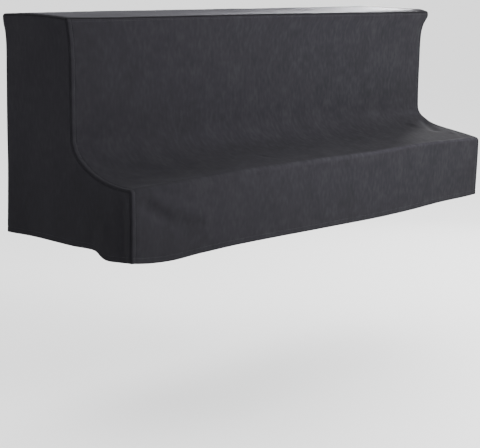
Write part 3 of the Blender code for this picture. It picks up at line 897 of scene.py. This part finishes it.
def cut_positions(low, high, step):
    count = round((high - low) / step)
    return [mix(low, high, index / count) for index in range(1, count)]


def scored_face(outline):
    """One face on an outline in (y, z), scored by upright and level planes."""
    bm = bmesh.new()
    bm.faces.new([bm.verts.new((0.0, point.y, point.z)) for point in outline])
    low_y, high_y = min(point.y for point in outline), max(point.y for point in outline)
    low_z, high_z = min(point.z for point in outline), max(point.z for point in outline)
    level = cut_positions(low_z, low_z + HEM_BAND, HEM_CUT) + cut_positions(low_z + HEM_BAND, high_z, CUT)
    cuts = [((0.0, place, 0.0), (0, 1, 0)) for place in cut_positions(low_y, high_y, CUT)]
    cuts += [((0.0, 0.0, place), (0, 0, 1)) for place in level]
    for at, across in cuts:
        parts = bm.verts[:] + bm.edges[:] + bm.faces[:]
        bmesh.ops.bisect_plane(bm, geom=parts, dist=MERGE / 2, plane_co=at, plane_no=across)
    bmesh.ops.remove_doubles(bm, verts=bm.verts, dist=MERGE)
    return bm


# %% Measure from the edges
SPOTS = 4  # to which each step of a path is split where distances are looked up


def nearest_on(path, point):
    """Index, share and distance of the nearest place on a path to a point, seen from the side."""
    best = (0, 0.0, math.inf)
    for index, (start, finish) in enumerate(zip(path, path[1:])):
        along = (finish - start).yz
        offset = (point - start).yz
        share = min(max(offset.dot(along) / along.length_squared, 0.0), 1.0)
        distance = (offset - along * share).length
        if distance < best[2]:
            best = (index, share, distance)
    return best


def distance_finder(path):
    """A quick way to find how far a point is from a path, seen from the side."""
    spots = [spot for start, finish in zip(path, path[1:]) for spot in line(start, finish, SPOTS)[:-1]]
    tree = kdtree.KDTree(len(spots))
    for index, spot in enumerate(spots):
        tree.insert((0.0, spot.y, spot.z), index)
    tree.balance()
    return lambda point: tree.find((0.0, point.y, point.z))[2]


def settle_edge(bm, seam_path, hem):
    """Put the outline's points, which scoring leaves a little rough, back on their lines.

    Gives the index and share of those on the seam, and those on the hem.
    """
    on_seam, on_hem = {}, set()
    for vert in [vert for vert in bm.verts if vert.is_boundary]:
        at = vert.co.copy()
        for path in (hem, seam_path):
            index, share, gap = nearest_on(path, at)
            if gap < MERGE:
                vert.co.yz = path[index].lerp(path[index + 1], share).yz
                if path is hem:
                    on_hem.add(vert)
                else:
                    on_seam[vert] = (index, share)
    return on_seam, on_hem


# %% Grow the edges of a side panel
Edge = namedtuple("Edge", "base place ring")
RINGS = ROLL_STEPS + ALLOWANCE_STEPS


def seam_offset(ring, clip, roll):
    """How far a ring of the seam's edge lies towards the ribbon's face, and how far inwards."""
    angle = math.pi / 2 * min(ring / ROLL_STEPS, 1.0)
    deeper = (clip - SEAM_ROLL) * max(ring - ROLL_STEPS, 0) / ALLOWANCE_STEPS
    towards = roll * SEAM_ROLL * math.sin(angle) + (1 - roll) * SEAM_ROLL * ring / RINGS
    return towards, roll * (SEAM_ROLL * (1 - math.cos(angle)) + deeper)


def outline_edges(bm, points):
    """Edges of the outline that lie between these points."""
    return [edge for edge in bm.edges if edge.is_boundary and all(vert in points for vert in edge.verts)]


def grow(bm, edges):
    """Extrude edges once.  Returns the new edges, and the old point that each new one came from."""
    old = {tuple(vert.co): vert for edge in edges for vert in edge.verts}
    made = bmesh.ops.extrude_edge_only(bm, edges=edges)["geom"]
    lines = [part for part in made if isinstance(part, bmesh.types.BMEdge)
             and not any(vert in old.values() for vert in part.verts)]
    return lines, {vert: old[tuple(vert.co)] for edge in lines for vert in edge.verts}


# %% Sew a side panel
def make_side(name, side, folds):
    front = seam_places(front_ribbon, side)[::-1]
    top = seam_places(top_ribbon, side)[::-1]
    back = seam_places(back_ribbon, side)
    seam = front + top + back
    hem = hem_line(side, front[0].point, back[-1].point)
    seam_path = [place.point for place in seam]
    bm = scored_face(seam_path + hem[-2:0:-1])
    on_seam, on_hem = settle_edge(bm, seam_path, hem)
    to_front, to_top, to_back, to_hem = (distance_finder(path) for path in (
        *([place.point for place in part] for part in (front, top, back)), hem))

    flat, tone, edges, in_seam = {}, {}, {}, set()
    for vert in bm.verts:
        at = vert.co.copy()
        flat[vert] = (at.y, at.z)
        # Painted shade, darker towards the hem.
        tone[vert] = painted_hem_shade(to_hem(at), *SIDE_HEM_SHADE)
        distances = to_front(at), to_top(at), to_back(at)
        from_seam = min(distances)
        rise = fold_rise(folds, Vector((side * HALF_WIDTH, at.y, at.z))) * smooth(from_seam / FOLD_FADE)
        rise += slack_rise(at) * smooth(from_seam / PUCKER_REACH)
        rise += pucker_rise(at.z + at.y, from_seam)
        rise -= stitch_dip(to_hem(at) + HEM_ROLL - HEM_STITCH)
        vert.co.x = side_x(side, at.z, distances[0], distances[2]) + side * rise
        place = None
        if vert in on_seam:
            index, share = on_seam[vert]
            before, after = seam[index:index + 2]
            place = (after if share > 0.5 else before)._replace(
                normal=before.normal.lerp(after.normal, share).normalized(),
                roll=mix(before.roll, after.roll, share))
        edges[vert] = Edge(vert.co.copy(), place, 0)

    lines = [edge for edge in outline_edges(bm, on_seam) if not all(vert in on_hem for vert in edge.verts)]
    for ring in range(1, RINGS + 1):
        lines, source = grow(bm, lines)
        for vert, old in source.items():
            base, place = edges[old].base, edges[old].place
            towards, inward = seam_offset(ring, place.clip, place.roll)
            vert.co = base + place.normal * towards - Vector((side * inward, 0.0, 0.0))
            edges[vert] = edges[old]._replace(ring=ring)
            flat[vert] = tuple(Vector(flat[old]) + place.normal.yz * (SEAM_ROLL / ROLL_STEPS))
            tone[vert] = tone[old]
            # Deeper rings of a side seam take the painted seam shade.
            if ring > SIDE_UNSHADED_STEPS and place.roll > LOOSE_ROLL:
                in_seam.add(vert)
            if old in on_hem:
                on_hem.add(vert)

    lines = outline_edges(bm, on_hem)
    for bend, height in HEM_TURNS:
        lines, source = grow(bm, lines)
        behind, below = turned_up(bend, height)
        for vert, old in source.items():
            edge = edges[vert] = edges[old]
            point = edge.base.copy()
            if edge.place:
                towards, inward = seam_offset(edge.ring, SHORT_ALLOWANCE, edge.place.roll * (1 - bend))
                point += edge.place.normal * towards - Vector((side * inward, 0.0, 0.0))
            vert.co = point - Vector((side * behind, 0.0, below))
            flat[vert] = (flat[old][0], edge.base.z - HEM_ROLL * math.pi * bend - height)
            tone[vert] = tone[old]
    return finish_cloth(name, bm, flat, tone, SIDE_STREAK_LIGHT, in_seam, Vector((side, 0, 0)))


bass_cloth = make_side("bass_side_cloth", -1, BASS_FOLDS)
treble_cloth = make_side("treble_side_cloth", 1, TREBLE_FOLDS)

# %% [markdown]
# ## Stitches
#
# A lockstitch shows as short beads of thread, each sunk a little in the pile.  A painted line would
# vanish in a close view, so each bead is a small mesh ball, pulled long.  Real stitches are 3 mm
# apart.  These are drawn 5 mm apart and half as large again, so that they show.

# %% Lay beads along a line
STITCH_PITCH = 5.0 * MM
BEAD = Vector((1.9 * MM, 0.45 * MM, 0.35 * MM))  # half length, half width and half height
SUNK = 0.1 * MM


def beads_on(bm, bead, path):
    """Lay beads along a path of (point, normal)."""
    left = STITCH_PITCH / 2
    for (start, normal), (finish, after) in zip(path, path[1:]):
        step = finish - start
        while left < step.length:
            share = left / step.length
            forward = step.normalized()
            across = normal.lerp(after, share).cross(forward).normalized()
            up = forward.cross(across)
            turn = Matrix((forward * BEAD.x, across * BEAD.y, up * BEAD.z)).transposed().to_4x4()
            laid = bead.copy()
            laid.transform(Matrix.Translation(start.lerp(finish, share) - up * SUNK) @ turn)
            bm.from_mesh(laid)
            bpy.data.meshes.remove(laid)
            left += STITCH_PITCH
        left -= step.length


def make_stitches(name, paths):
    bead = bpy.data.meshes.new("bead")
    bm = bmesh.new()
    bmesh.ops.create_uvsphere(bm, u_segments=6, v_segments=4, radius=1.0)
    bm.to_mesh(bead)
    bm.clear()
    for path in paths:
        beads_on(bm, bead, path)
    bpy.data.meshes.remove(bead)
    stitches = add_object(name, bm, [thread])
    stitches.data.shade_smooth()
    print(name, len(stitches.data.polygons), "facets")
    return stitches


# %% Stitch the edges and the hems
def spread(value):
    """A whole row or column, and the share of the way to the next one."""
    return int(value), value - int(value)


def across_line(ribbon, row):
    """Points and normals from the bass corner to the treble one, at a row that may lie between two."""
    low, share = spread(row)
    near, far = (ribbon.rows[index][TURN_COLUMNS:] for index in (low, low + 1))
    return [(a.lerp(b, share), section[low].normal) for a, b, section in zip(near, far, ribbon.sections)]


def down_line(ribbon, side):
    """Points and normals beside a ribbon's corner, TOPSTITCH from it."""
    low, share = spread(TOPSTITCH / NEAR_STEP)
    return [(row[low].lerp(row[low + 1], share), place.normal) for _, row, place in face_rows(ribbon, side)]


def seam_row(ribbon):
    """The row TOPSTITCH from a front or back panel's first face row."""
    rows = [(index, place.along) for index, _, place in face_rows(ribbon)]
    for (index, before), (_, after) in zip(rows, rows[1:]):
        if before <= TOPSTITCH < after:
            return index + (TOPSTITCH - before) / (after - before)


def hem_row(ribbon):
    """The row of a front or back panel's hem stitching."""
    return face_rows(ribbon)[-1][0] - (HEM_STITCH - HEM_ROLL) / FINE


def side_hem_line(cloth, side):
    """Points and normals along a side panel's hem stitching, found by casting rays at its mesh."""
    bm = bmesh.new()
    bm.from_mesh(cloth.data)
    tree = BVHTree.FromBMesh(bm)
    bm.free()
    front, back = (seam_places(ribbon, side)[-1].point for ribbon in (front_ribbon, back_ribbon))
    return [tree.ray_cast(Vector((side, point.y, point.z + HEM_STITCH - HEM_ROLL)), Vector((-side, 0, 0)))[:2]
            for point in hem_line(side, front, back)[1:-1]]


edge_lines = [across_line(ribbon, seam_row(ribbon)) for ribbon in (front_ribbon, back_ribbon)]
edge_lines += [down_line(ribbon, side) for ribbon in (front_ribbon, top_ribbon, back_ribbon)
               for side in (-1, 1)]
hem_lines = [across_line(ribbon, hem_row(ribbon)) for ribbon in (front_ribbon, back_ribbon)]
hem_lines += [side_hem_line(bass_cloth, -1), side_hem_line(treble_cloth, 1)]
edge_stitching = make_stitches("edge_stitching", edge_lines)
hem_stitching = make_stitches("hem_stitching", hem_lines)

# %% [markdown]
# ## Floor, light and camera
#
# The cover hangs over a plain pale floor at the height where a piano would stand.  One wide soft key
# light from the treble side models the folds, and a broad light from overhead and a pale sky fill in.
# Two small ones from behind brush the pile of the top and of the shelf.  The key light could be a
# panel near the cover, but a far one with a wide angle lights all of it evenly, as a studio does.

# %% Floor
FLOOR_Z = -1.20
FLOOR_REACH = 400.0  # so far that its edge lies at the horizon
# Matt pale paint.  Its swells are over a metre wide and so low that only shadows show on it.
paint = make_material("matt_studio_floor",
                      plain_look("#eeeeee", 0.9, 0.5, 1.25, (0.5 * MM, 0.1), detail=2.0, on_cloth=False))
sheet = bmesh.new()
bmesh.ops.create_grid(sheet, x_segments=8, y_segments=8, size=FLOOR_REACH,
                      matrix=Matrix.Translation((0, 0, FLOOR_Z)))
floor = add_object("floor", sheet, [paint])

# %% Lights
SKY = "#f6f7f8"
SKY_STRENGTH = 0.8
LIGHTS = (
    # name, kind, place, what it is aimed at, power in watts or a sun's strength, size, spread in degrees
    ("key_light", "AREA", (3.4, -3.6, 0.9), (0.0, -0.25, -0.3), 750.0, 2.4, 180.0),
    ("rim_light", "AREA", (1.45, 0.42, 0.12), (0.6, -0.11, 0.22), 23.0, 0.3, 36.0),
    ("shelf_light", "AREA", (3.0, 1.25, 0.12), (0.7, -0.3, -0.4), 16.0, 0.4, 120.0),
    ("overhead_light", "SUN", (0.4, 0.7, 2.2), (0.0, 0.0, 0.0), 4.2, None, 100.0),
)
world = bpy.data.worlds.new("studio")
bpy.context.scene.world = world
world.use_nodes = True
set_inputs(world.node_tree.nodes["Background"], {"Color": linear(SKY), "Strength": SKY_STRENGTH})
for name, kind, at, aim, power, size, reach in LIGHTS:
    data = bpy.data.lights.new(name, kind)
    data.energy = power
    if kind == "SUN":
        data.angle = math.radians(reach)
    else:
        data.size = size
        data.spread = math.radians(reach)
    light = add_object(name, data)
    light.location = at
    light.rotation_euler = (Vector(at) - Vector(aim)).to_track_quat("Z", "Y").to_euler()
    light.visible_camera = False
    print(name, power)

# %% Camera
CAMERA_AT = (-2.58054, -2.81375, 0.0808)
CAMERA_DOWN = math.radians(11.5575)  # how far it looks down
CAMERA_TURN = math.radians(-42.66786)
CAMERA_LENS = 87.25  # millimetres, on a sensor 36 mm wide
data = bpy.data.cameras.new("camera")
data.lens = CAMERA_LENS
data.sensor_fit = "HORIZONTAL"
data.clip_end = 3 * FLOOR_REACH
camera = add_object("camera", data)
camera.location = CAMERA_AT
camera.rotation_euler = (math.pi / 2 - CAMERA_DOWN, 0.0, CAMERA_TURN)
bpy.context.scene.camera = camera
print("camera at", CAMERA_AT)

# %% [markdown]
# ## Hand the pieces over
#
# Each cloth stands for its solid and rides on the cover's one body.  The table also lists how large
# each was cut, with its seam allowances and turned hem.

CUT_SPARE = 0.03  # of the ribbon's width, to turn round the corners of the lid
CUT_WIDTH = 2 * (HALF_WIDTH + ALLOWANCE) + CUT_SPARE
cloths = (
    # cloth, solid, cut width and length, flat area where the cut isn't a rectangle
    (front_cloth, "front_panel", (CUT_WIDTH, 0.87), None),
    (back_cloth, "back_panel", (CUT_WIDTH, 0.68), None),
    (top_cloth, "top_panel", (CUT_WIDTH, 0.35), None),
    (bass_cloth, "bass_side_panel", (0.60, 0.68), 0.28),
    (treble_cloth, "treble_side_panel", (0.60, 0.68), 0.28),
)
for cloth, node, flat, area in cloths:
    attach(cloth, "root")
    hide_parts(node)
for stitches in (edge_stitching, hem_stitching):
    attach(stitches, "root")
